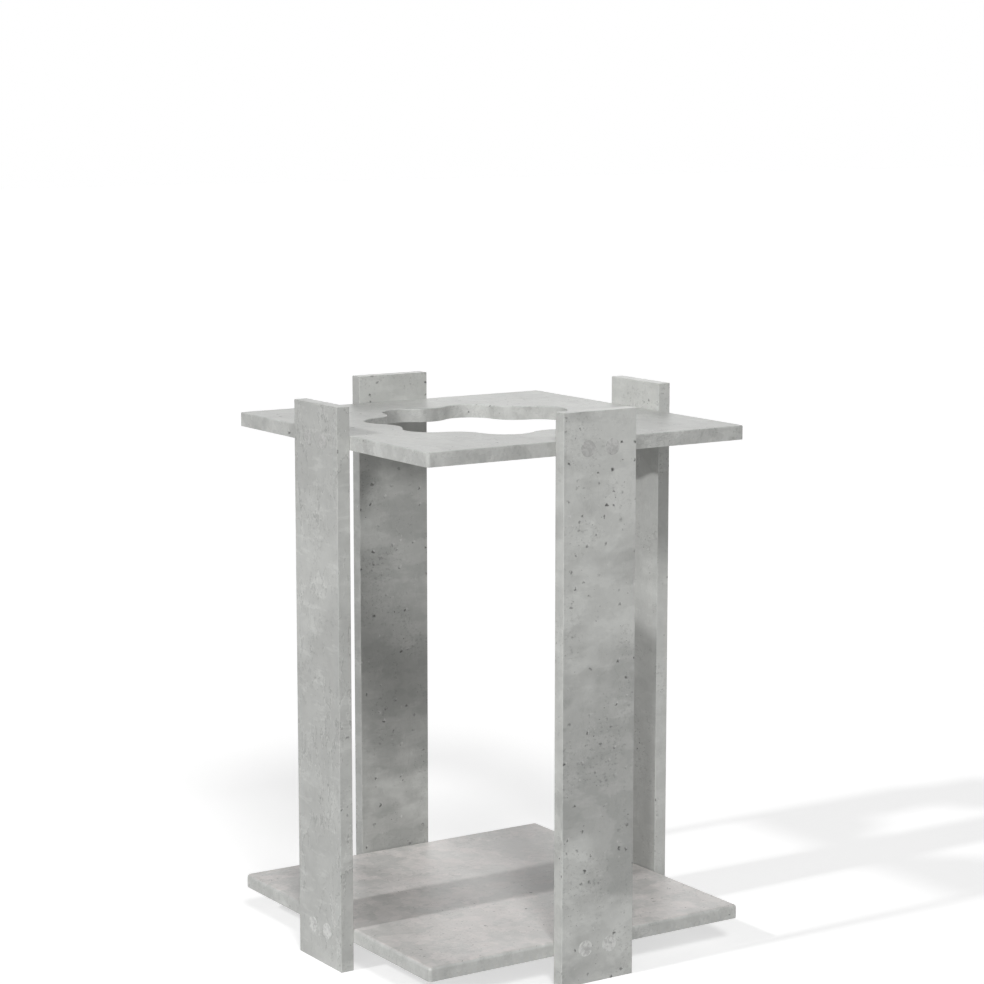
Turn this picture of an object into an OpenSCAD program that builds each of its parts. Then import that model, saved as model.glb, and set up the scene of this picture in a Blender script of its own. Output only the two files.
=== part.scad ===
// Rod rack: two square plates held between four upright boards.
// The base plate is closed. The rod plate, near the top, has a scalloped opening.
// Every plate is fixed to every upright by two screws, hidden under cover discs.
// Origin: middle of the rack, on the floor. The front is -Y, the right is +X, up is +Z.

/* [Uprights] */
// Height of the uprights
upright_h = 595; // [450:5:900]
// Width of the uprights
upright_w = 89; // [70:1:140]
// Thickness of the uprights
upright_t = 15; // [12:0.5:25]
// Radius that eases the long edges of the uprights
upright_edge_r = 0.6; // [0.2:0.1:1.5]
// Height by which the uprights stand above the rod plate
top_rise = 30; // [15:1:80]
// Clear height between the floor and the base plate
base_clear = 30; // [15:1:100]

/* [Plates] */
// Side of the two square plates
plate_w = 390; // [350:5:480]
// Thickness of both plates
plate_t = 15; // [14:0.5:25]
// Corner radius of the plates, seen from above
plate_corner_r = 4; // [3.5:0.5:15]
// Radius that rounds the top edges of both plates and of the opening
plate_edge_r = 2.5; // [0.5:0.5:3]

/* [Opening in the rod plate] */
// Number of scallops round the opening
scallops = 8; // [7:1:9]
// Distance from the middle of the opening to the centre of a scallop
scallop_ring_r = 102; // [90:1:115]
// Radius of a scallop
scallop_r = 30; // [26:1:36]
// Radius of the rounded nose between two scallops
nose_r = 34; // [25:1:45]

/* [Screws] */
// Length of a screw
screw_len = 50; // [40:1:60]
// Diameter of the countersunk head
head_d = 10; // [9:0.5:11]
// Height of the head's straight rim
head_rim = 1; // [0.5:0.1:1.5]
// Height of the head's cone
head_cone = 2; // [1.5:0.1:3]
// Diameter of the plain neck below the head
neck_d = 7; // [6.8:0.1:8]
// Length of the screw from the face of its head to the end of its neck
neck_end = 12; // [8:0.5:20]
// Diameter of the threaded shank
thread_d = 6.4; // [5:0.1:6.6]
// Length of the shank's point
point_len = 4; // [2:0.5:6]
// Width across the flats of the hexagon socket
socket_w = 4; // [3:0.5:5]
// Depth of the hexagon socket
socket_depth = 2.6; // [2:0.1:3]
// Distance between the two screws of a joint
screw_pitch = 30; // [25:1:40]
// Radial play of a screw in its holes
screw_play = 0.05; // [0.02:0.01:0.2]
// Depth that is left free beyond the screw's point
hole_spare = 2; // [1:0.5:5]

/* [Cover discs] */
// Diameter of a cover disc
cover_d = 17; // [14:0.5:20]
// Thickness of a cover disc
cover_t = 0.3; // [0.2:0.1:1]

/* [Hidden] */
// Middle of the rack to the inner and the outer face of an upright
inner_r = plate_w / 2;
outer_r = inner_r + upright_t;
// Undersides of the two plates
base_z = base_clear;
rod_z = upright_h - top_rise - plate_t;
// Half the angle from one scallop to the next
half_a = 180 / scallops;
// Distance from the middle to a nose's centre, where nose and scallop touch without a corner
nose_ring_r = scallop_ring_r * cos(half_a)
    + sqrt(pow(scallop_r + nose_r, 2) - pow(scallop_ring_r * sin(half_a), 2));
// Half the angle that a scallop's arc spans
join_a = atan2(nose_ring_r * sin(half_a), nose_ring_r * cos(half_a) - scallop_ring_r);
// Steps in a scallop, a nose, a plate corner and a rounded edge
scallop_steps = 16;
nose_steps = 10;
corner_steps = 6;
edge_steps = 4;
// How far a cutter runs past the face that it opens
overrun = 1;
$fn = 48;

// Sides by name, with the turn from the front to that side
SIDES = [["front", 0], ["right", 90], ["back", 180], ["left", 270]];
// Screw levels by name, with the height of the plate's mid-thickness
LEVELS = [["lower", base_z + plate_t / 2], ["upper", rod_z + plate_t / 2]];
// The two screws of a joint, by name, with their place across the board
PAIR = [["1", -screw_pitch / 2], ["2", screw_pitch / 2]];

function node_name(kind, side, level, one) = str(kind, "_", side[0], "_", level[0], "_", one[0]);

// Points along an arc, from one angle to another
function arc(centre, r, from, to, steps) =
    [for (i = [0:steps]) centre + r * polar(from + (to - from) * i / steps)];
function polar(a) = [cos(a), sin(a)];
function turned(points, a) =
    [for (p = points) [p.x * cos(a) - p.y * sin(a), p.x * sin(a) + p.y * cos(a)]];
function inner_points(points) = [for (i = [1:len(points) - 2]) points[i]];
function at_height(points, z) = [for (p = points) [p.x, p.y, z]];

// Plate outline, drawn in by inset on all sides
function plate_outline(inset) = [
    for (k = [0:3]) each turned(
        arc([inner_r - plate_corner_r, inner_r - plate_corner_r],
            plate_corner_r - inset, 0, 90, corner_steps),
        90 * k)
];

// One scallop and the nose after it, widened by outset
function scallop_and_nose(outset) = concat(
    arc([scallop_ring_r, 0], scallop_r + outset, -join_a, join_a, scallop_steps),
    inner_points(arc(nose_ring_r * polar(half_a), nose_r - outset,
        180 + join_a, 180 + 2 * half_a - join_a, nose_steps))
);

// Outline of the opening, turned so that a nose faces every upright
function opening_outline(outset) = [
    for (k = [0:scallops - 1]) each turned(scallop_and_nose(outset), (2 * k + 1) * half_a)
];

// Steps of the rounded top edge: how far it has drawn in, and at what height
function edge_steps_of(top) = [
    for (i = [0:edge_steps]) let (a = 90 * i / edge_steps)
        [plate_edge_r * (1 - cos(a)), top - plate_edge_r * (1 - sin(a))]
];

// Solid through rings of points, each with as many points as the first
module loft(rings) {
    n = len(rings[0]);
    last = len(rings) - 1;
    walls = [
        for (k = [0:last - 1], i = [0:n - 1]) let (j = (i + 1) % n)
            [k * n + i, (k + 1) * n + i, (k + 1) * n + j, k * n + j]
    ];
    bottom = [for (i = [0:n - 1]) i];
    top = [for (i = [n - 1:-1:0]) last * n + i];
    polyhedron([for (ring = rings) each ring], concat([bottom], walls, [top]));
}

// Square plate standing on z = 0, with its top edge rounded
module plate_blank() {
    loft(concat(
        [at_height(plate_outline(0), 0)],
        [for (step = edge_steps_of(plate_t)) at_height(plate_outline(step[0]), step[1])]
    ));
}

// Cutter for the scalloped opening, flared at the top by the same rounding
module opening() {
    loft(concat(
        [at_height(opening_outline(0), -overrun)],
        [for (step = edge_steps_of(plate_t)) at_height(opening_outline(step[0]), step[1])],
        [at_height(opening_outline(plate_edge_r), plate_t + overrun)]
    ));
}

// Turns what is made at the front to another side of the rack
module at_side(side) {
    rotate([0, 0, side[1]]) children();
}

// Puts a screw's axis on its place at the front, with the face of its head on the upright
module at_screw(level, one) {
    translate([one[1], -outer_r, level[1]]) rotate([-90, 0, 0]) children();
}

// Turned form of a screw from the face of its head down, made wider by play
module screw_form(play, tip) {
    head_end = head_rim + head_cone;
    rotate_extrude() polygon([
        [0, 0],
        [head_d / 2 + play, 0],
        [head_d / 2 + play, head_rim],
        [neck_d / 2 + play, head_end],
        [neck_d / 2 + play, neck_end + play],
        [thread_d / 2 + play, neck_end + play],
        [thread_d / 2 + play, screw_len - point_len],
        [tip, screw_len],
        [0, screw_len]
    ]);
}

// Room for a screw: its own form, run out past the head and past the point
module screw_room() {
    screw_form(screw_play, thread_d / 2 + screw_play);
    translate([0, 0, -overrun]) cylinder(h = overrun + head_rim, r = head_d / 2 + screw_play);
    translate([0, 0, screw_len - point_len])
        cylinder(h = point_len + hole_spare, r = thread_d / 2 + screw_play);
}

// Room for the two screws at every side of a plate
module plate_screw_rooms(level) {
    for (side = SIDES, one = PAIR) at_side(side) at_screw(level, one) screw_room();
}

// Lower plate, closed all over
module base_plate() {
    color([0.74, 0.73, 0.72]) difference() {
        translate([0, 0, base_z]) plate_blank();
        plate_screw_rooms(LEVELS[0]);
    }
}

// Upper plate, with the scalloped opening
module rod_plate() {
    color([0.74, 0.74, 0.73]) difference() {
        translate([0, 0, rod_z]) difference() {
            plate_blank();
            opening();
        }
        plate_screw_rooms(LEVELS[1]);
    }
}

// Cross-section of an upright, with its four long edges eased
module upright_section() {
    translate([-upright_w / 2, upright_edge_r])
        square([upright_w, upright_t - 2 * upright_edge_r]);
    translate([upright_edge_r - upright_w / 2, 0])
        square([upright_w - 2 * upright_edge_r, upright_t]);
    for (x = [-1, 1], y = [upright_edge_r, upright_t - upright_edge_r])
        translate([x * (upright_w / 2 - upright_edge_r), y]) circle(r = upright_edge_r);
}

// Upright board at the front, outside the plates' edges
module upright() {
    color([0.70, 0.70, 0.69]) difference() {
        translate([0, -outer_r, 0]) linear_extrude(upright_h) upright_section();
        for (level = LEVELS, one = PAIR) at_screw(level, one) screw_room();
    }
}

// Screw of a joint, with its hexagon socket
module screw() {
    color([0.62, 0.62, 0.60]) difference() {
        screw_form(0, thread_d / 4);
        translate([0, 0, -overrun])
            cylinder(h = overrun + socket_depth, d = socket_w / cos(30), $fn = 6);
    }
}

// Self-adhesive disc over the head of a screw
module cover() {
    color([0.68, 0.68, 0.67]) translate([0, 0, -cover_t]) cylinder(h = cover_t, d = cover_d);
}

base_plate();
rod_plate();
for (side = SIDES)
    at_side(side) upright();
for (side = SIDES, level = LEVELS, one = PAIR)
    at_side(side) at_screw(level, one) screw();
for (side = SIDES, level = LEVELS, one = PAIR)
    at_side(side) at_screw(level, one) cover();
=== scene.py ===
"""Rod rack, dressed: boards with a light grey concrete print, screws and their cover discs.

Four upright boards hold a closed base plate and, near their tops, a plate with a scalloped
opening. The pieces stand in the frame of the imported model, in metres: the origin is in the
middle of the rack on the floor, the front is -Y, the right is +X and up is +Z.
"""
import math

import bmesh
import bpy
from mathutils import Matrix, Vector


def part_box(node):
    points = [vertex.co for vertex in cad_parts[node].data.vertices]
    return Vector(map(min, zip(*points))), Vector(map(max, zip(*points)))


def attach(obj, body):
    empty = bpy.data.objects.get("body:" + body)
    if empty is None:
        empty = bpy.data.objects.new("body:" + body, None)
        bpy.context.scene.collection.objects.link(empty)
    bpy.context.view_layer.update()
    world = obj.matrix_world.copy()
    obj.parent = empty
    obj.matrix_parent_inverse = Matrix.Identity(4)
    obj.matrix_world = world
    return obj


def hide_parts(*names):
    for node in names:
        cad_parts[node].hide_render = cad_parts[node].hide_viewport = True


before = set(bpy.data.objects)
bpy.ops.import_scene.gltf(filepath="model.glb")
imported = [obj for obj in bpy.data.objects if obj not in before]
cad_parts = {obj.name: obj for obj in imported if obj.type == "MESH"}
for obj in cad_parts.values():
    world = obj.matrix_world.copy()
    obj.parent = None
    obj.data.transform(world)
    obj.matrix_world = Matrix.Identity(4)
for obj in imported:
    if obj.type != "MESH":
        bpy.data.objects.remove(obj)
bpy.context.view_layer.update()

# Camera
# The rack is seen over its front left corner, from a little above its top and through a
# long lens, so two boards show their outer face and two their inner face.
CAMERA_PLACE = (-1.5543, -2.4042, 0.9193)
CAMERA_HEADING = 32.99  # degrees from +Y towards +X
CAMERA_DIP = 8.616  # degrees below the horizon
CAMERA_LENS = 98.67  # mm
CAMERA_SENSOR = 36  # mm, its width

camera = bpy.data.objects.new("camera", bpy.data.cameras.new("camera"))
camera.data.sensor_width = CAMERA_SENSOR
camera.data.lens = CAMERA_LENS
camera.location = CAMERA_PLACE
camera.rotation_euler = (math.radians(90 - CAMERA_DIP), 0, -math.radians(CAMERA_HEADING))
bpy.context.scene.collection.objects.link(camera)
bpy.context.scene.camera = camera

# Base plate
# A square of 15 mm particle board, faced with concrete print on both sides and on its four
# edges. It lies 30 mm above the floor, held by two screws through each of the four uprights.
MM = 0.001
PLATE_CORNER = 4 * MM  # radius of the four corners, seen from above
PLATE_ROUND = 3.6 * MM  # radius of the upper edges
UNDERSIDE_ROUND = 0.5 * MM  # radius of the lower edges
base_low, base_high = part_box("base_plate")
PLATE_SIDE = base_high.x - base_low.x
PLATE_THICKNESS = base_high.z - base_low.z


class Figure:
    """A number inside a node tree. Reckoning with it adds the nodes that work the result out."""

    def __init__(self, tree, socket):
        self.tree = tree
        self.socket = socket

    def math(self, operation, *others):
        node = put(self.tree, "ShaderNodeMath", operation=operation)
        for socket, value in zip(node.inputs, (self, *others)):
            fill(self.tree, socket, value)
        return Figure(self.tree, node.outputs[0])

    def __add__(self, other):
        return self.math("ADD", other)

    def __sub__(self, other):
        return self.math("SUBTRACT", other)

    def __mul__(self, other):
        return self.math("MULTIPLY", other)

    def __truediv__(self, other):
        return self.math("DIVIDE", other)

    def between(self, low, high):
        """0 below low, 1 above high, and an eased step from one to the other."""
        node = put(self.tree, "ShaderNodeMapRange", interpolation_type="SMOOTHSTEP",
                   Value=self, From_Min=low, From_Max=high)
        return Figure(self.tree, node.outputs[0])

    def inverted(self):
        """1 where the figure is 0, and 0 where it is 1."""
        return self * -1 + 1


def fill(tree, socket, value):
    """Joins a figure or an output to the socket, or writes a plain value into it."""
    if isinstance(value, Figure):
        value = value.socket
    if isinstance(value, bpy.types.NodeSocket):
        tree.links.new(value, socket)
    else:
        socket.default_value = value


def put(tree, kind, **values):
    """Adds a node. Names with a capital fill its inputs, the others are its settings."""
    node = tree.nodes.new(kind)
    for name, value in values.items():
        if name[0].islower():
            setattr(node, name, value)
    for name, value in values.items():
        if name[0].isupper():
            wanted = name.replace("_", " ")
            fill(tree, next(s for s in node.inputs if s.enabled and s.name == wanted), value)
    return node


def out(node, name=None):
    """The node's output that is in use, by name where it has more than one."""
    return next(s for s in node.outputs if s.enabled and name in (None, s.name))


def vector_math(tree, operation, *values):
    """Reckons with vectors, given in the order of the node's inputs."""
    node = put(tree, "ShaderNodeVectorMath", operation=operation)
    for socket, value in zip((s for s in node.inputs if s.enabled), values):
        fill(tree, socket, value)
    return out(node)


def blend(tree, share, base, other):
    """A colour that goes from base to other as the share goes from 0 to 1."""
    return out(put(tree, "ShaderNodeMix", data_type="RGBA", Factor=share, A=base, B=other))


def begin_tree(name, kind, inputs, outputs):
    """A node group with named sockets. Returns it, its inputs as figures, and its output node."""
    tree = bpy.data.node_groups.new(name, kind)
    for label, (socket_type, value) in inputs.items():
        socket = tree.interface.new_socket(label, in_out="INPUT", socket_type=socket_type)
        if value is not None:
            socket.default_value = value
    for label, socket_type in outputs.items():
        tree.interface.new_socket(label, in_out="OUTPUT", socket_type=socket_type)
    given = tree.nodes.new("NodeGroupInput").outputs
    figures = {label: Figure(tree, given[label]) for label in inputs}
    return tree, figures, put(tree, "NodeGroupOutput")


def place_group(tree, group, **values):
    """Places a node group in a tree, with its own values."""
    return put(tree, tree.bl_idname.replace("NodeTree", "NodeGroup"), node_tree=group, **values)


NUMBER = ("NodeSocketFloat", 0.0)
COUNT = ("NodeSocketInt", 0)
VECTOR = ("NodeSocketVector", None)
COLOUR = ("NodeSocketColor", None)
GEOMETRY = ("NodeSocketGeometry", None)
MATERIAL = ("NodeSocketMaterial", None)
OBJECT = ("NodeSocketObject", None)


def build_patches():
    """Patches where a noise passes a level: 0 outside and 1 inside, with a soft or crisp border."""
    tree, given, result = begin_tree(
        "Patches", "ShaderNodeTree",
        {"Place": VECTOR, "Size": NUMBER, "Level": NUMBER, "Softness": NUMBER},
        {"Patches": "NodeSocketFloat"})
    noise = put(tree, "ShaderNodeTexNoise", Vector=given["Place"],
                Scale=given["Size"].math("POWER", -1), Detail=4.0, Roughness=0.55)
    half = given["Softness"] / 2
    inside = Figure(tree, out(noise, "Fac")).between(given["Level"] - half, given["Level"] + half)
    fill(tree, result.inputs["Patches"], inside)
    return tree


def build_pores():
    """Small open pores: ragged pits in some cells of a lattice, each with a pale speck beside it."""
    tree, given, result = begin_tree(
        "Pores", "ShaderNodeTree",
        {"Place": VECTOR, "Spacing": NUMBER, "Radius": NUMBER, "Share": NUMBER},
        {"Pits": "NodeSocketFloat", "Specks": "NodeSocketFloat"})

    # A noise frays the pits. Its grain and its swing are given in radii of the largest pit.
    fray_grain = 1.5
    fray_swing = 2.4
    noise = put(tree, "ShaderNodeTexNoise", Vector=given["Place"],
                Scale=(given["Radius"] * fray_grain).math("POWER", -1), Detail=2.0)
    centred = vector_math(tree, "SUBTRACT", out(noise, "Color"), (0.5, 0.5, 0.5))
    frayed = vector_math(tree, "MULTIPLY_ADD", centred, given["Radius"] * fray_swing,
                         given["Place"])
    cells = put(tree, "ShaderNodeTexVoronoi", Vector=frayed,
                Scale=given["Spacing"].math("POWER", -1))

    # Each cell draws whether it has a pit, the pit's radius and its depth. The least radius
    # and depth are shares of the largest.
    least_radius = 0.35
    least_depth = 0.3
    draw = put(tree, "ShaderNodeSeparateColor", Color=out(cells, "Color"))
    there = Figure(tree, out(draw, "Red")).math("LESS_THAN", given["Share"])
    size = Figure(tree, out(draw, "Green")).math("POWER", 2)
    depth = (Figure(tree, out(draw, "Blue")) * (1 - least_depth) + least_depth) * there
    radius = given["Radius"] * (size * (1 - least_radius) + least_radius)
    distance = Figure(tree, out(cells, "Distance")) * given["Spacing"]
    pits = distance.between(radius * 0.25, radius).inverted() * depth

    # The speck lies 0.6 of the radius away along each axis
    corner = vector_math(tree, "SCALE", (0.6, 0.6, 0.6), radius)
    beside = vector_math(tree, "ADD", out(cells, "Position"), corner)
    apart = Figure(tree, vector_math(tree, "DISTANCE", frayed, beside))
    specks = apart.between(radius * 0.4, radius).inverted() * depth
    fill(tree, result.inputs["Pits"], pits)
    fill(tree, result.inputs["Specks"], specks * pits.inverted())
    return tree


PATCHES = build_patches()
PORES = build_pores()


def patches_of(tree, place, size, level, softness):
    """Patches of one size. A higher level leaves fewer, and softness blurs their borders."""
    return Figure(tree, out(place_group(
        tree, PATCHES, Place=place, Size=size, Level=level, Softness=softness)))


def build_concrete_print():
    """The printed decor: clouds, stains, flecks and strokes, grit, veins, and pores of two sizes."""
    tree, given, result = begin_tree(
        "Concrete print", "ShaderNodeTree",
        {"Place": VECTOR, "Ground": COLOUR, "Pore colour": COLOUR, "Speck colour": COLOUR,
         "Cloud strength": NUMBER, "Mottle strength": NUMBER, "Stroke strength": NUMBER,
         "Grit strength": NUMBER, "Pore share": NUMBER, "Fine pore share": NUMBER,
         "Speck strength": NUMBER, "Vein strength": NUMBER, "Tint": COLOUR,
         "Tint strength": NUMBER},
        {"Colour": "NodeSocketColor", "Roughness": "NodeSocketFloat", "Relief": "NodeSocketFloat"})
    place = given["Place"]

    def patches(size, level, softness, vector=place):
        return patches_of(tree, vector, size, level, softness)

    def stretched(*scale):
        """The place in a print that is longer along an axis whose scale is under 1."""
        return out(put(tree, "ShaderNodeMapping", vector_type="POINT", Vector=place, Scale=scale,
                       Location=(0.37, 0.11, 0.23)))

    # The tone lies about 1. Clouds lift or sink it, stains and flecks do so where they are
    # above or below their own mean, and strokes lift it.
    layered = stretched(0.6, 0.6, 1)
    clouds = (patches(130 * MM, 0.5, 0.14, layered) - 0.5) * 2
    clouds = clouds + (patches(40 * MM, 0.5, 0.06, layered) - 0.5) * 0.6
    stains = patches(42 * MM, 0.5, 0.03) + patches(17 * MM, 0.54, 0.03) * 0.7
    flecks = patches(14 * MM, 0.5, 0.2, layered) * 0.4 + patches(4 * MM, 0.5, 0.36) * 0.3
    mottle = flecks + stains * 0.6
    mottle_mean = 0.85
    strokes = patches(8 * MM, 0.6, 0.08, stretched(0.25, 0.25, 1))
    tone = clouds * given["Cloud strength"] + (mottle - mottle_mean) * given["Mottle strength"]
    tone = tone + strokes * given["Stroke strength"] + 1

    # Grit gathers in zones and along a few upright trails
    trails = patches(12 * MM, 0.62, 0.08, stretched(1, 1, 0.2))
    zones = patches(60 * MM, 0.55, 0.05).math("MAXIMUM", trails)
    gathered = zones * 0.85 + 0.15
    grit = patches(4.2 * MM, 0.6, 0.14, stretched(1, 1, 1.4)) * gathered
    glints = patches(3 * MM, 0.6, 0.14, stretched(1.1, 1.1, 1.4)) * gathered
    tone = tone + (glints * 0.4 - grit) * given["Grit strength"]

    # Veins follow one level of an upright noise, as thin dark lines with a pale one beside them
    winding = put(tree, "ShaderNodeTexNoise", Vector=stretched(1.3, 1.3, 0.5), Detail=5.0,
                  Scale=1 / (18 * MM), Roughness=0.6)
    level = Figure(tree, out(winding, "Fac"))
    dark_veins = (level - 0.5).math("ABSOLUTE").between(0.002, 0.018).inverted()
    pale_veins = (level - 0.535).math("ABSOLUTE").between(0.002, 0.02).inverted()
    veined = patches(50 * MM, 0.48, 0.2)
    tone = tone + (pale_veins * 0.6 - dark_veins) * veined * given["Vein strength"]

    # The tint lies over the ground colour, stronger on the stains, and the tone scales both.
    # On the plates' tops the tint is painted light and painted shade.
    top_tint_and_painted_light = (stains * 0.35 + 0.5) * given["Tint strength"]
    tinted_with_painted_light = blend(tree, top_tint_and_painted_light, given["Ground"], given["Tint"])
    shaded = vector_math(tree, "SCALE", tinted_with_painted_light, tone)

    pores = place_group(tree, PORES, Place=place, Spacing=9 * MM, Radius=2.7 * MM,
                        Share=given["Pore share"] * (zones * 0.7 + 0.5))
    fine = place_group(tree, PORES, Place=place, Spacing=4 * MM, Radius=1.4 * MM,
                       Share=given["Fine pore share"] * (zones * 0.8 + 0.2))
    pits = Figure(tree, out(pores, "Pits")).math("MAXIMUM", out(fine, "Pits"))
    specks = Figure(tree, out(pores, "Specks")).math("MAXIMUM", out(fine, "Specks"))
    dotted = blend(tree, specks * given["Speck strength"], shaded, given["Speck colour"])
    pitted = blend(tree, pits, dotted, given["Pore colour"])
    fill(tree, result.inputs["Colour"], pitted)
    fill(tree, result.inputs["Roughness"], pits * 0.2 + mottle * 0.05 + 0.4)
    fill(tree, result.inputs["Relief"], pits * -1 - grit * 0.2)
    return tree


CONCRETE_PRINT = build_concrete_print()
PRINT_DEPTH = 0.05 * MM  # depth of the pores that are pressed into the film


def tone_of(red, green, blue):
    """A colour as the eye sees it, from 0 to 255, in the linear values that shaders use."""
    return [*(((c / 255 + 0.055) / 1.055) ** 2.4 for c in (red, green, blue)), 1]


def begin_material(name):
    """A new material. Returns it, its node tree and its shader."""
    material = bpy.data.materials.new(name)
    material.use_nodes = True
    return material, material.node_tree, material.node_tree.nodes["Principled BSDF"]


def board_material(name, shift, turn=(0, 0, 0), edging=None, edge_gloss=0.0, **look):
    """Satin melamine over the concrete print. Each board shows its own stretch of the print,
    and its narrow sides are edged with strips of another stretch where an edging is given. A
    rounded upper edge, where the film is drawn tight, can be glossier than the faces. A tint
    colours only what faces up. On the base plate's top it is a warm hue of the print and
    painted light that makes the top lighter; on the rod plate's top it is painted shade."""
    material, tree, shader = begin_material(name)
    geometry = put(tree, "ShaderNodeNewGeometry")
    facing = put(tree, "ShaderNodeSeparateXYZ", Vector=out(geometry, "Normal"))
    upward = Figure(tree, out(facing, "Z"))
    place = put(tree, "ShaderNodeTexCoord")
    moved = put(tree, "ShaderNodeMapping", vector_type="POINT", Vector=out(place, "Object"),
                Location=shift, Rotation=turn)
    if edging:
        narrow_side = Figure(tree, out(facing, edging["axis"])).math("ABSOLUTE")
        strip = put(tree, "ShaderNodeMix", data_type="VECTOR", A=shift, B=edging["shift"],
                    Factor=narrow_side.math("GREATER_THAN", 0.7))
        fill(tree, moved.inputs["Location"], out(strip))
    values = {"Ground": tone_of(188, 189, 186), "Pore_colour": tone_of(72, 72, 71),
              "Speck_colour": tone_of(222, 222, 220), "Cloud_strength": 0.08,
              "Mottle_strength": 0.06, "Stroke_strength": 0.05, "Grit_strength": 0.18,
              "Pore_share": 0.5, "Fine_pore_share": 0.5, "Speck_strength": 0.5,
              "Vein_strength": 0.06, "Tint": tone_of(196, 190, 186), "Tint_strength": 0.0}
    values.update(look)
    # Only what faces up takes the tint: painted light and painted shade on the plates' tops
    values["Tint_strength"] = upward.between(0.6, 0.95) * values["Tint_strength"]
    decor = place_group(tree, CONCRETE_PRINT, Place=out(moved), **values)
    relief = put(tree, "ShaderNodeBump", Height=out(decor, "Relief"), Distance=PRINT_DEPTH)
    rounded_edge = upward.between(0.1, 0.4) - upward.between(0.8, 0.95)
    fill(tree, shader.inputs["Base Color"], out(decor, "Colour"))
    fill(tree, shader.inputs["Roughness"],
         Figure(tree, out(decor, "Roughness")) - rounded_edge * edge_gloss)
    fill(tree, shader.inputs["Normal"], out(relief))
    return material


def build_raised_board():
    """Raises a flat outline to a board, and marks its upper and lower edges for rounding."""
    tree, given, result = begin_tree(
        "Raised board", "GeometryNodeTree",
        {"Outline": GEOMETRY, "Underside": NUMBER, "Thickness": NUMBER, "Lower edge share": NUMBER},
        {"Board": "NodeSocketGeometry"})
    flat = put(tree, "GeometryNodeFillCurve", mode="NGONS", Curve=given["Outline"])
    height = put(tree, "ShaderNodeCombineXYZ", Z=given["Underside"])
    low = put(tree, "GeometryNodeTransform", Geometry=out(flat), Translation=out(height))
    raised = put(tree, "GeometryNodeExtrudeMesh", Mesh=out(low), Offset_Scale=given["Thickness"],
                 Individual=False)
    under = put(tree, "GeometryNodeFlipFaces", Mesh=out(low))
    both = put(tree, "GeometryNodeJoinGeometry")
    tree.links.new(out(raised, "Mesh"), both.inputs[0])
    tree.links.new(out(under), both.inputs[0])
    closed = put(tree, "GeometryNodeMergeByDistance", Geometry=out(both), Distance=MM / 1000)

    # An upper edge has its middle in the top quarter, a lower one in the bottom quarter, and
    # an upright one halfway
    angle = Figure(tree, out(put(tree, "GeometryNodeInputMeshEdgeAngle"), "Unsigned Angle"))
    place = put(tree, "ShaderNodeSeparateXYZ", Vector=out(put(tree, "GeometryNodeInputPosition")))
    share = (Figure(tree, out(place, "Z")) - given["Underside"]) / given["Thickness"]
    upper = share.math("GREATER_THAN", 0.75)
    lower = share.math("LESS_THAN", 0.25) * given["Lower edge share"]
    marked = put(tree, "GeometryNodeStoreNamedAttribute", data_type="FLOAT", domain="EDGE",
                 Geometry=out(closed), Name="bevel_weight_edge",
                 Value=(upper + lower) * angle.math("GREATER_THAN", 1.0))
    fill(tree, result.inputs["Board"], out(marked))
    return tree


def build_square_outline():
    """A square with rounded corners, as a closed curve."""
    tree, given, result = begin_tree(
        "Square outline", "GeometryNodeTree", {"Side": NUMBER, "Corner radius": NUMBER},
        {"Outline": "NodeSocketGeometry"})
    square = put(tree, "GeometryNodeCurvePrimitiveQuadrilateral", Width=given["Side"],
                 Height=given["Side"])
    rounded = put(tree, "GeometryNodeFilletCurve", mode="POLY", Curve=out(square), Count=6,
                  Radius=given["Corner radius"])
    fill(tree, result.inputs["Outline"], out(rounded))
    return tree


RAISED_BOARD = build_raised_board()
SQUARE_OUTLINE = build_square_outline()
PLATE_INPUTS = {"Side": NUMBER, "Corner radius": NUMBER, "Underside": NUMBER,
                "Thickness": NUMBER, "Lower edge share": NUMBER}
PLATE_SIZES = {"Side": PLATE_SIDE, "Corner radius": PLATE_CORNER, "Thickness": PLATE_THICKNESS,
               "Lower edge share": UNDERSIDE_ROUND / PLATE_ROUND}


def square_outline(tree, given):
    """The outline of a plate, from the plate's own inputs."""
    return out(place_group(tree, SQUARE_OUTLINE, Side=given["Side"],
                           Corner_radius=given["Corner radius"]))


def raised_plate(tree, given, outline):
    """A plate raised from its outline, from the plate's own inputs."""
    return out(place_group(
        tree, RAISED_BOARD, Outline=outline, Underside=given["Underside"],
        Thickness=given["Thickness"], Lower_edge_share=given["Lower edge share"]))


def build_base_plate():
    """The closed plate: the square outline, raised."""
    tree, given, result = begin_tree(
        "Base plate", "GeometryNodeTree", PLATE_INPUTS, {"Board": "NodeSocketGeometry"})
    fill(tree, result.inputs["Board"], raised_plate(tree, given, square_outline(tree, given)))
    return tree


def turned_mesh(name, rings, steps):
    """A closed mesh turned about +Y. A ring is its depth along Y and its radius by angle."""
    shape = bmesh.new()
    loops = []
    for depth, radius_at in rings:
        if radius_at is None:
            loops.append([shape.verts.new((0, depth, 0))])
            continue
        angles = [math.tau * i / steps for i in range(steps)]
        ring = [(radius_at(a) * math.cos(a), depth, radius_at(a) * math.sin(a)) for a in angles]
        loops.append([shape.verts.new(corner) for corner in ring])
    for near, far in zip(loops, loops[1:]):
        for i in range(steps):
            corners = [near[i % len(near)], near[(i + 1) % len(near)],
                       far[(i + 1) % len(far)], far[i % len(far)]]
            shape.faces.new(dict.fromkeys(corners))
    bmesh.ops.recalc_face_normals(shape, faces=shape.faces)
    mesh = bpy.data.meshes.new(name)
    shape.to_mesh(mesh)
    shape.free()
    return mesh


def circle(radius):
    """Radius of a round ring, the same at every angle."""
    return lambda angle: radius


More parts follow.
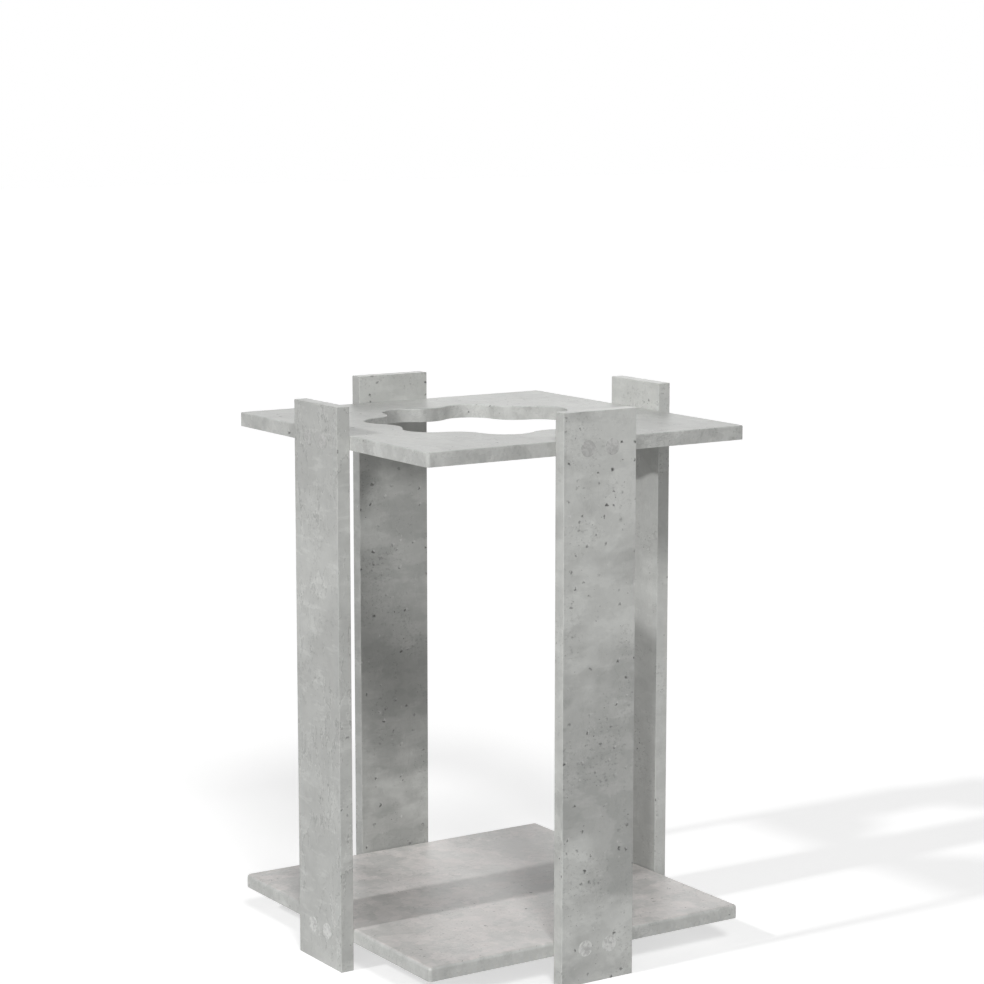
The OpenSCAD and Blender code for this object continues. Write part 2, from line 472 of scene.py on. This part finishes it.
# The room for one screw: seat of the head, cone, neck and thread, cut a little past both ends
SCREW_LENGTH = 50 * MM
SCREW_PLAY = 0.05 * MM
HEAD_RADIUS = 5 * MM
HEAD_RIM = 1 * MM  # height of the head's straight rim
HEAD_CONE = 2 * MM  # height of the cone below it
NECK_RADIUS = 3.5 * MM
NECK_END = 12 * MM
THREAD_RADIUS = 3.2 * MM
ROOM_OVERRUN = 1 * MM  # past the outer face
ROOM_SPARE = 2 * MM  # past the screw's point
ROOM_STEPS = 48
screw_room = bpy.data.objects.new("screw_room", turned_mesh("screw_room", [
    (-ROOM_OVERRUN, None),
    (-ROOM_OVERRUN, circle(HEAD_RADIUS + SCREW_PLAY)),
    (HEAD_RIM, circle(HEAD_RADIUS + SCREW_PLAY)),
    (HEAD_RIM + HEAD_CONE, circle(NECK_RADIUS + SCREW_PLAY)),
    (NECK_END + SCREW_PLAY, circle(NECK_RADIUS + SCREW_PLAY)),
    (NECK_END + SCREW_PLAY, circle(THREAD_RADIUS + SCREW_PLAY)),
    (SCREW_LENGTH + ROOM_SPARE, circle(THREAD_RADIUS + SCREW_PLAY)),
    (SCREW_LENGTH + ROOM_SPARE, None),
], ROOM_STEPS))

# The places of the screws: two side by side wherever a plate meets an upright
front_low, front_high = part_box("upright_front")
OUTER_FACE = -front_low.y
SCREW_COUNT = 16
JOINTS = {"Screw pitch": 30 * MM, "Outer face": OUTER_FACE,
          "Lower screws": (base_low.z + base_high.z) / 2,
          "Upper screws": sum(corner.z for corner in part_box("rod_plate")) / 2}
JOINT_INPUTS = dict.fromkeys(JOINTS, NUMBER)


def build_at_the_joints():
    """Puts one thing at each of the screws' places, facing out from its side of the rack."""
    tree, given, result = begin_tree(
        "At the joints", "GeometryNodeTree", {"Thing": GEOMETRY, **JOINT_INPUTS},
        {"Things": "NodeSocketGeometry"})
    number = Figure(tree, out(put(tree, "GeometryNodeInputIndex")))
    one = number.math("FLOORED_MODULO", 2)
    level = (number / 2).math("FLOOR").math("FLOORED_MODULO", 2)
    turn = (number / 4).math("FLOOR") * (math.pi / 2)
    along = (one - 0.5) * given["Screw pitch"]
    height = given["Lower screws"] + (given["Upper screws"] - given["Lower screws"]) * level
    at_front = put(tree, "ShaderNodeCombineXYZ", X=along, Y=given["Outer face"] * -1, Z=height)
    rotation = put(tree, "ShaderNodeCombineXYZ", Z=turn)
    place = put(tree, "FunctionNodeRotateVector", Vector=out(at_front), Rotation=out(rotation))
    points = put(tree, "GeometryNodePoints", Count=SCREW_COUNT, Position=out(place))
    marked = put(tree, "GeometryNodeStoreNamedAttribute", data_type="FLOAT_VECTOR", domain="POINT",
                 Geometry=out(points), Name="middle", Value=out(place))
    things = put(tree, "GeometryNodeInstanceOnPoints", Points=out(marked), Instance=given["Thing"],
                 Rotation=out(rotation))
    fill(tree, result.inputs["Things"], out(things))
    return tree


AT_THE_JOINTS = build_at_the_joints()
CRISP_ANGLE = math.radians(35)


def real_copies(tree, given, thing):
    """Copies of an object at all the joints, as one mesh."""
    shape = put(tree, "GeometryNodeObjectInfo", Object=thing)
    places = {label.replace(" ", "_"): given[label] for label in JOINT_INPUTS}
    copies = place_group(tree, AT_THE_JOINTS, Thing=out(shape, "Geometry"), **places)
    return out(put(tree, "GeometryNodeRealizeInstances", Geometry=out(copies)))


def crisply_shaded(tree, geometry):
    """Shades a mesh smooth, apart from the edges at which it turns by more than 35 degrees."""
    smooth = put(tree, "GeometryNodeSetShadeSmooth", domain="FACE", Geometry=geometry)
    angle = Figure(tree, out(put(tree, "GeometryNodeInputMeshEdgeAngle"), "Unsigned Angle"))
    crisp = put(tree, "GeometryNodeSetShadeSmooth", domain="EDGE", Geometry=out(smooth),
                Selection=angle.math("GREATER_THAN", CRISP_ANGLE), Shade_Smooth=False)
    return out(crisp)


def dressed(tree, given, geometry):
    """The end of a tree: one real mesh, with its material."""
    real = put(tree, "GeometryNodeRealizeInstances", Geometry=geometry)
    return out(put(tree, "GeometryNodeSetMaterial", Geometry=out(real), Material=given["Material"]))


def build_drilling():
    """Cuts the rooms for the screws out of a board, and sets which of its edges stay crisp."""
    tree, given, result = begin_tree(
        "Drilling", "GeometryNodeTree",
        {"Board": GEOMETRY, "Material": MATERIAL, "Screw room": OBJECT, **JOINT_INPUTS},
        {"Board": "NodeSocketGeometry"})
    cut = put(tree, "GeometryNodeMeshBoolean", operation="DIFFERENCE", solver="EXACT")
    fill(tree, cut.inputs["Mesh 1"], given["Board"])
    fill(tree, cut.inputs["Mesh 2"], real_copies(tree, given, given["Screw room"]))
    shaded = crisply_shaded(tree, out(cut, "Mesh"))
    fill(tree, result.inputs["Board"], dressed(tree, given, shaded))
    return tree


DRILLING = build_drilling()


def set_inputs(modifier, values):
    """Sets a modifier's inputs through the identifiers of their sockets."""
    for socket in modifier.node_group.interface.items_tree:
        if socket.in_out == "INPUT" and socket.name in values:
            modifier[socket.identifier] = values[socket.name]


def made_piece(name, tree, sizes):
    """An object that holds what a tree of geometry nodes makes from the named sizes."""
    piece = bpy.data.objects.new(name, bpy.data.meshes.new(name))
    bpy.context.scene.collection.objects.link(piece)
    making = piece.modifiers.new("making", "NODES")
    making.node_group = tree
    set_inputs(making, sizes)
    return piece


def settle(piece):
    """Turns what the modifiers make into the piece's own plain mesh."""
    bpy.context.view_layer.update()
    evaluated = piece.evaluated_get(bpy.context.evaluated_depsgraph_get())
    mesh = bpy.data.meshes.new_from_object(evaluated)
    while mesh.materials[0] is None:
        mesh.materials.pop(index=0)
    piece.modifiers.clear()
    piece.data = mesh
    mesh.name = piece.name
    return piece


def board_piece(name, tree, sizes, rounding, weighted, material):
    """A board with rounded edges and with the rooms for its screws. Where weighted is true
    the marked edges are rounded, each by its own weight, and otherwise all sharp edges are."""
    piece = made_piece(name, tree, sizes)
    edges = piece.modifiers.new("edges", "BEVEL")
    edges.width = rounding
    edges.segments = 5 if weighted else 3
    edges.limit_method = "WEIGHT" if weighted else "ANGLE"
    drilling = piece.modifiers.new("drilling", "NODES")
    drilling.node_group = DRILLING
    set_inputs(drilling, {"Material": material, "Screw room": screw_room, **JOINTS})
    shading = piece.modifiers.new("shading", "WEIGHTED_NORMAL")
    shading.keep_sharp = True
    settle(piece)
    for spent in ("middle", "bevel_weight_edge"):
        piece.data.attributes.remove(piece.data.attributes[spent])
    return piece


# What the two plates' materials have in common. The print is laid down on its side.
PLATE_LOOK = {"turn": (0, math.pi / 2, 0), "edge_gloss": 0.12, "Stroke_strength": 0.03,
              "Grit_strength": 0.1, "Vein_strength": 0.14, "Pore_share": 0.25,
              "Fine_pore_share": 0.25}

base_plate = board_piece(
    "base_board", build_base_plate(), {**PLATE_SIZES, "Underside": base_low.z},
    PLATE_ROUND, weighted=True, material=board_material(
        "base_plate_decor", shift=(0.3, 0.1, 0.4), **PLATE_LOOK, Ground=tone_of(192, 193, 190),
        # The tint on the top: a warm hue of the print, and painted light that makes the top lighter
        Tint=tone_of(210, 203, 201), Tint_strength=0.6, Mottle_strength=0.14,
        Cloud_strength=0.06))
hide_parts("base_plate")
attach(base_plate, "root")

# Upright boards
# Four boards of the same material, 595 x 89 x 15 mm, screwed to the middle of each side of
# both plates. Their narrow sides are edged with strips of the print, and all edges are eased.
UPRIGHT_EASE = 0.6 * MM


def build_upright():
    """A board that stands at the front of the rack, turned to its own side."""
    tree, given, result = begin_tree(
        "Upright board", "GeometryNodeTree",
        {"Width": NUMBER, "Thickness": NUMBER, "Height": NUMBER, "Outer face": NUMBER,
         "Turn": NUMBER},
        {"Board": "NodeSocketGeometry"})
    section = put(tree, "GeometryNodeCurvePrimitiveQuadrilateral", Width=given["Width"],
                  Height=given["Thickness"])
    board = place_group(tree, RAISED_BOARD, Outline=out(section), Thickness=given["Height"])
    back = put(tree, "ShaderNodeCombineXYZ", Y=given["Thickness"] / 2 - given["Outer face"])
    at_front = put(tree, "GeometryNodeTransform", Geometry=out(board), Translation=out(back))
    turn = put(tree, "ShaderNodeCombineXYZ", Z=given["Turn"])
    turned = put(tree, "GeometryNodeTransform", Geometry=out(at_front), Rotation=out(turn))
    fill(tree, result.inputs["Board"], out(turned))
    return tree


# Each board's stretch of the print, the strips' stretch, and what sets its print apart
# The back and right boards' stretches are picked lighter above the rod plate and darker low down:
# painted light and painted shade. The front board's strips are a lighter stretch: painted light on
# its narrow sides.
UPRIGHT_LOOKS = {
    "front": {"shift": (1.4345, 1.1, 0.995), "Ground": tone_of(188, 189, 186),
              # A lighter stretch: painted light on the narrow sides
              "edging": {"axis": "X", "shift": (3.3345, -3.795, 0.5)},
              "Cloud_strength": 0.17, "Pore_share": 0.7},
    # Its stretch is lighter above the rod plate and darker low down: painted light and shade
    "right": {"shift": (3.095, -2.8545, 1.365), "Ground": tone_of(199, 200, 197),
              "edging": {"axis": "Y", "shift": (5.595, 0.9345, 1.51)}},
    # Its stretch is lighter above the rod plate and darker low down: painted light and shade
    "back": {"shift": (2.2895, 0.695, 2.485), "Ground": tone_of(188, 189, 186),
             "edging": {"axis": "X", "shift": (3.3345, -5.725, 2.835)},
             "Cloud_strength": 0.17, "Pore_share": 0.6},
    "left": {"shift": (3.5, -3.9395, 3.065), "Ground": tone_of(191, 192, 189),
             "edging": {"axis": "Y", "shift": (0.535, 0.9345, 0.31)},
             "Stroke_strength": 0.1, "Cloud_strength": 0.08, "Vein_strength": 0.26,
             "Grit_strength": 0.12, "Pore_share": 0.3, "Fine_pore_share": 0.2},
}
upright_tree = build_upright()
upright_size = front_high - front_low
for quarter, (side, look) in enumerate(UPRIGHT_LOOKS.items()):
    upright = board_piece(f"{side}_board", upright_tree, {
        "Width": upright_size.x, "Thickness": upright_size.y, "Height": upright_size.z,
        "Outer face": OUTER_FACE, "Turn": quarter * math.pi / 2,
    }, UPRIGHT_EASE, weighted=False, material=board_material(f"{side}_board_decor", **look))
    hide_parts(f"upright_{side}")
    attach(upright, "root")

# Rod plate
# The upper plate, of the same board as the base plate. A router cuts its opening with eight
# scallops, and rounds the opening's upper edge by the same radius as the outer one.
SCALLOPS = 8
SCALLOP_RING = 102 * MM  # from the plate's middle to a scallop's centre
SCALLOP_RADIUS = 30 * MM
NOSE_RADIUS = 34 * MM  # of the rounded nose between two scallops
SCALLOP_STEPS = 28
NOSE_STEPS = 18


def build_rod_plate():
    """The plate with the opening: the square outline and the opening's, raised together."""
    tree, given, result = begin_tree(
        "Rod plate", "GeometryNodeTree",
        {**PLATE_INPUTS, "Scallops": COUNT, "Scallop ring": NUMBER, "Scallop radius": NUMBER,
         "Nose radius": NUMBER},
        {"Board": "NodeSocketGeometry"})
    ring, scallop, nose = given["Scallop ring"], given["Scallop radius"], given["Nose radius"]
    per_scallop = SCALLOP_STEPS + NOSE_STEPS
    number = Figure(tree, out(put(tree, "GeometryNodeInputIndex")))
    lobe = (number / per_scallop).math("FLOOR")
    step = number.math("FLOORED_MODULO", per_scallop)

    # The nose's centre lies where its arc runs into the scallops on both sides
    half = given["Scallops"].math("POWER", -1) * math.pi
    across = ring * half.math("SINE")
    reach = (scallop + nose).math("POWER", 2) - across.math("POWER", 2)
    nose_ring = ring * half.math("COSINE") + reach.math("SQRT")
    nose_centre_x = nose_ring * half.math("COSINE")
    nose_centre_y = nose_ring * half.math("SINE")
    join = nose_centre_y.math("ARCTAN2", nose_centre_x - ring)

    # A point of the scallop's arc, and a point of the nose's arc after it
    on_scallop = join * (step * (2 / SCALLOP_STEPS) - 1)
    along = (step - SCALLOP_STEPS) / NOSE_STEPS
    on_nose = join + (half - join) * (along * 2) + math.pi
    scallop_x = ring + scallop * on_scallop.math("COSINE")
    scallop_y = scallop * on_scallop.math("SINE")
    nose_x = nose_centre_x + nose * on_nose.math("COSINE")
    nose_y = nose_centre_y + nose * on_nose.math("SINE")
    past = step.math("GREATER_THAN", SCALLOP_STEPS)
    point = put(tree, "ShaderNodeCombineXYZ", X=scallop_x + (nose_x - scallop_x) * past,
                Y=scallop_y + (nose_y - scallop_y) * past)
    turn = put(tree, "ShaderNodeCombineXYZ", Z=half * (lobe * 2 + 1))
    turned = put(tree, "FunctionNodeRotateVector", Vector=out(point), Rotation=out(turn))
    loop = put(tree, "GeometryNodeCurvePrimitiveCircle",
               Resolution=given["Scallops"] * per_scallop)
    opening = put(tree, "GeometryNodeSetPosition", Geometry=out(loop, "Curve"),
                  Position=out(turned))

    both = put(tree, "GeometryNodeJoinGeometry")
    tree.links.new(square_outline(tree, given), both.inputs[0])
    tree.links.new(out(opening), both.inputs[0])
    fill(tree, result.inputs["Board"], raised_plate(tree, given, out(both)))
    return tree


rod_low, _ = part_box("rod_plate")
rod_plate = board_piece("rod_board", build_rod_plate(), {
    **PLATE_SIZES, "Underside": rod_low.z, "Scallops": SCALLOPS, "Scallop ring": SCALLOP_RING,
    "Scallop radius": SCALLOP_RADIUS, "Nose radius": NOSE_RADIUS,
}, PLATE_ROUND, weighted=True, material=board_material(
    "rod_plate_decor", shift=(1.3, 0.7, 0.1), **PLATE_LOOK, Ground=tone_of(192, 193, 190),
    # The tint on the top is a darker grey: painted shade
    Tint=tone_of(182, 183, 180), Tint_strength=0.8, Mottle_strength=0.17, Cloud_strength=0.07))
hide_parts("rod_plate")
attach(rod_plate, "root")

# Screws
# Sixteen zinc-plated screws for particle board: countersunk head with a hexagon socket, plain
# neck in the upright and a coarse thread in the plate's edge. The cover discs hide them.
SOCKET_WIDTH = 4 * MM  # across the flats
SOCKET_DEPTH = 2.6 * MM
SOCKET_TIP = 0.6 * MM  # hollow that the punch leaves in the socket's floor
SOCKET_CHAMFER = 0.25 * MM
SOCKET_MOUTH = 2.5 * MM  # radius of the chamfered mouth
HEAD_CHAMFER = 0.15 * MM
NECK_CHAMFER = 0.3 * MM
THREAD_CORE = 2.3 * MM
THREAD_LEAD = 2.8 * MM
THREAD_START = 12.6 * MM
POINT_LENGTH = 4 * MM
POINT_TAPER = ((1 / 2, 0.62), (1 / 8, 0.2))  # what is left of the length, and of the radius
SCREW_STEPS = 24
ROWS_PER_TURN = 8


def hexagon(across_flats):
    """Radius of a hexagon by angle."""
    sixth = math.tau / 6
    return lambda angle: across_flats / 2 / math.cos(angle % sixth - sixth / 2)


def thread_at(depth):
    """Radius by angle where the screw's ridge winds past a given depth."""
    half_foot = 0.3  # of the ridge, as a share of the lead
    thread_end = SCREW_LENGTH - POINT_LENGTH
    run_out = min(1, (depth - THREAD_START) / THREAD_LEAD, (thread_end - depth) / THREAD_LEAD)

    def radius(angle):
        phase = (depth / THREAD_LEAD - angle / math.tau) % 1
        ridge = max(0, 1 - abs(phase - 0.5) / half_foot)
        return THREAD_CORE + (THREAD_RADIUS - THREAD_CORE) * ridge * run_out
    return radius


thread_length = SCREW_LENGTH - POINT_LENGTH - THREAD_START
thread_rows = round(thread_length / THREAD_LEAD * ROWS_PER_TURN)
thread_depths = [THREAD_START + thread_length * i / thread_rows for i in range(thread_rows + 1)]
one_screw = bpy.data.objects.new("one_screw", turned_mesh("one_screw", [
    (SOCKET_DEPTH + SOCKET_TIP, None),
    (SOCKET_DEPTH, hexagon(SOCKET_WIDTH)),
    (SOCKET_CHAMFER, hexagon(SOCKET_WIDTH)),
    (0, circle(SOCKET_MOUTH)),
    (0, circle(HEAD_RADIUS - HEAD_CHAMFER)),
    (HEAD_CHAMFER, circle(HEAD_RADIUS)),
    (HEAD_RIM, circle(HEAD_RADIUS)),
    (HEAD_RIM + HEAD_CONE, circle(NECK_RADIUS)),
    (NECK_END - NECK_CHAMFER, circle(NECK_RADIUS)),
    (NECK_END, circle(THREAD_CORE)),
    *((depth, thread_at(depth)) for depth in thread_depths),
    *((SCREW_LENGTH - POINT_LENGTH * left, circle(THREAD_CORE * share))
      for left, share in POINT_TAPER),
    (SCREW_LENGTH, None),
], SCREW_STEPS))


def build_repeated():
    """Puts copies of one object at all the joints, as one mesh with its material."""
    tree, given, result = begin_tree(
        "Repeated at the joints", "GeometryNodeTree",
        {"Thing": OBJECT, "Material": MATERIAL, **JOINT_INPUTS},
        {"Things": "NodeSocketGeometry"})
    shaded = crisply_shaded(tree, real_copies(tree, given, given["Thing"]))
    fill(tree, result.inputs["Things"], dressed(tree, given, shaded))
    return tree


REPEATED = build_repeated()


def joint_nodes(kind):
    """The sixteen frame nodes that one repeated piece stands for."""
    return [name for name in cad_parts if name.startswith(kind + "_")]


def zinc_plate():
    """Bright zinc over steel: cool grey metal, clouded where the bath left it duller."""
    material, tree, shader = begin_material("zinc_plate")
    place = out(put(tree, "ShaderNodeTexCoord"), "Object")
    dull = patches_of(tree, place, 3 * MM, 0.5, 0.4)
    fine = patches_of(tree, place, 0.3 * MM, 0.5, 0.5)
    relief = put(tree, "ShaderNodeBump", Height=fine, Distance=0.01 * MM)
    shader.inputs["Metallic"].default_value = 1
    fill(tree, shader.inputs["Base Color"],
         blend(tree, dull, tone_of(188, 190, 194), tone_of(160, 163, 168)))
    fill(tree, shader.inputs["Roughness"], dull * 0.14 + 0.28)
    fill(tree, shader.inputs["Normal"], out(relief))
    return material


screws = settle(made_piece("screws", REPEATED, {
    **JOINTS, "Thing": one_screw, "Material": zinc_plate()}))
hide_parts(*joint_nodes("screw"))
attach(screws, "root")

# Cover discs
# Self-adhesive discs of printed film over the screw heads, 17 mm across and 0.3 mm thick.
# Their print is like the boards', but it doesn't run on from board to disc.
DISC_RADIUS = 8.5 * MM
disc_low, disc_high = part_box("cover_front_upper_1")
DISC_THICKNESS = disc_high.y - disc_low.y
DISC_EDGE = 0.12 * MM  # radius of the outer edge
DISC_BEND = 0.3  # how far the middle of that edge is drawn in, as a share of its radius
DISC_STEPS = 64
one_disc = bpy.data.objects.new("one_disc", turned_mesh("one_disc", [
    (0, None),
    (0, circle(DISC_RADIUS)),
    (DISC_EDGE - DISC_THICKNESS, circle(DISC_RADIUS)),
    (DISC_EDGE * DISC_BEND - DISC_THICKNESS, circle(DISC_RADIUS - DISC_EDGE * DISC_BEND)),
    (-DISC_THICKNESS, circle(DISC_RADIUS - DISC_EDGE)),
    (-DISC_THICKNESS, circle(DISC_RADIUS - DISC_EDGE * 2)),
    (-DISC_THICKNESS, None),
], DISC_STEPS))


def disc_film():
    """The same satin print. It is blotched darker on the upper discs, most of all at their
    rims, and it has pale patches on the lower ones."""
    material = board_material("disc_film", (5.2, 4.1, 2.7), Ground=tone_of(190, 190, 188),
                              Mottle_strength=0.14, Grit_strength=0.3)
    tree = material.node_tree
    shader = tree.nodes["Principled BSDF"]
    decor = shader.inputs["Base Color"].links[0].from_socket
    place = out(put(tree, "ShaderNodeTexCoord"), "Object")
    middle = put(tree, "ShaderNodeAttribute", attribute_name="middle")
    apart = Figure(tree, vector_math(tree, "DISTANCE", place, out(middle, "Vector")))
    pale_patches = patches_of(tree, place, 4 * MM, 0.47, 0.2)
    dark_blotches = patches_of(tree, place, 5 * MM, 0.5, 0.12)
    rim = apart.between(DISC_RADIUS * 0.8, DISC_RADIUS)
    height = Figure(tree, out(put(tree, "ShaderNodeSeparateXYZ", Vector=place), "Z"))
    lower = height.math("LESS_THAN", (JOINTS["Lower screws"] + JOINTS["Upper screws"]) / 2)
    darker = lower.inverted() * (rim * dark_blotches * 0.15 + dark_blotches * 0.32 + 0.02)
    dark = blend(tree, darker, decor, tone_of(150, 151, 148))
    paler = lower * (pale_patches * 0.68 + 0.05)
    fill(tree, shader.inputs["Base Color"], blend(tree, paler, dark, tone_of(224, 225, 222)))
    return material


discs = settle(made_piece("cover_discs", REPEATED, {
    **JOINTS, "Thing": one_disc, "Material": disc_film()}))
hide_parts(*joint_nodes("cover"))
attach(discs, "root")

# Floor and light
# A plain white floor that takes the rack's shadow. A narrow key light comes from the left and
# a wider one from the front, with two broad weaker ones low down, in front and behind.
FLOOR_REACH = 20  # metres from the middle to each side
FLOOR_GREY = 0.6
FLOOR_LIFT = 0.62  # glow that only the camera and reflections see


def seen_directly(tree):
    """One for rays from the camera, mirrored ones and ones that pass through, else zero."""
    path = put(tree, "ShaderNodeLightPath")
    camera_ray = Figure(tree, out(path, "Is Camera Ray"))
    mirrored = Figure(tree, out(path, "Is Glossy Ray"))
    return camera_ray.math("MAXIMUM", mirrored).math("MAXIMUM", out(path, "Is Transmission Ray"))


def floor_shading():
    """Matt grey, lifted for the camera until the floor away from the rack is just white."""
    material, tree, shader = begin_material("floor")
    shader.inputs["Base Color"].default_value = (FLOOR_GREY, FLOOR_GREY, FLOOR_GREY, 1)
    shader.inputs["Specular IOR Level"].default_value = 0
    shader.inputs["Emission Color"].default_value = (1, 1, 1, 1)
    fill(tree, shader.inputs["Emission Strength"], seen_directly(tree) * FLOOR_LIFT)
    return material


floor_corners = [(x * FLOOR_REACH, y * FLOOR_REACH, 0)
                 for x, y in ((-1, -1), (1, -1), (1, 1), (-1, 1))]
floor_mesh = bpy.data.meshes.new("floor")
floor_mesh.from_pydata(floor_corners, [], [(0, 1, 2, 3)])
floor_mesh.materials.append(floor_shading())
floor = bpy.data.objects.new("floor", floor_mesh)
bpy.context.scene.collection.objects.link(floor)

# White all around, for the same rays as the floor's glow
world = bpy.data.worlds.new("surroundings")
world.use_nodes = True
background = world.node_tree.nodes["Background"]
background.inputs["Color"].default_value = (1, 1, 1, 1)
fill(world.node_tree, background.inputs["Strength"], seen_directly(world.node_tree))
bpy.context.scene.world = world

# Where each light comes from: degrees from the front towards the right, then above the
# horizon, its width in degrees and its strength
LIGHTS = {
    "key": (270, 38, 3, 1.35),
    "front": (338, 42, 12, 1.38),
    "low": (320, 12, 50, 0.95),
    "behind": (124, 15, 60, 0.5),
}
for name, (around, above, width, strength) in LIGHTS.items():
    lamp = bpy.data.lights.new(f"{name}_light", "SUN")
    lamp.energy = strength
    lamp.angle = math.radians(width)
    light = bpy.data.objects.new(lamp.name, lamp)
    light.rotation_euler = (math.radians(90 - above), 0, math.radians(around))
    bpy.context.scene.collection.objects.link(light)
bpy.context.scene.view_settings.view_transform = "Standard"
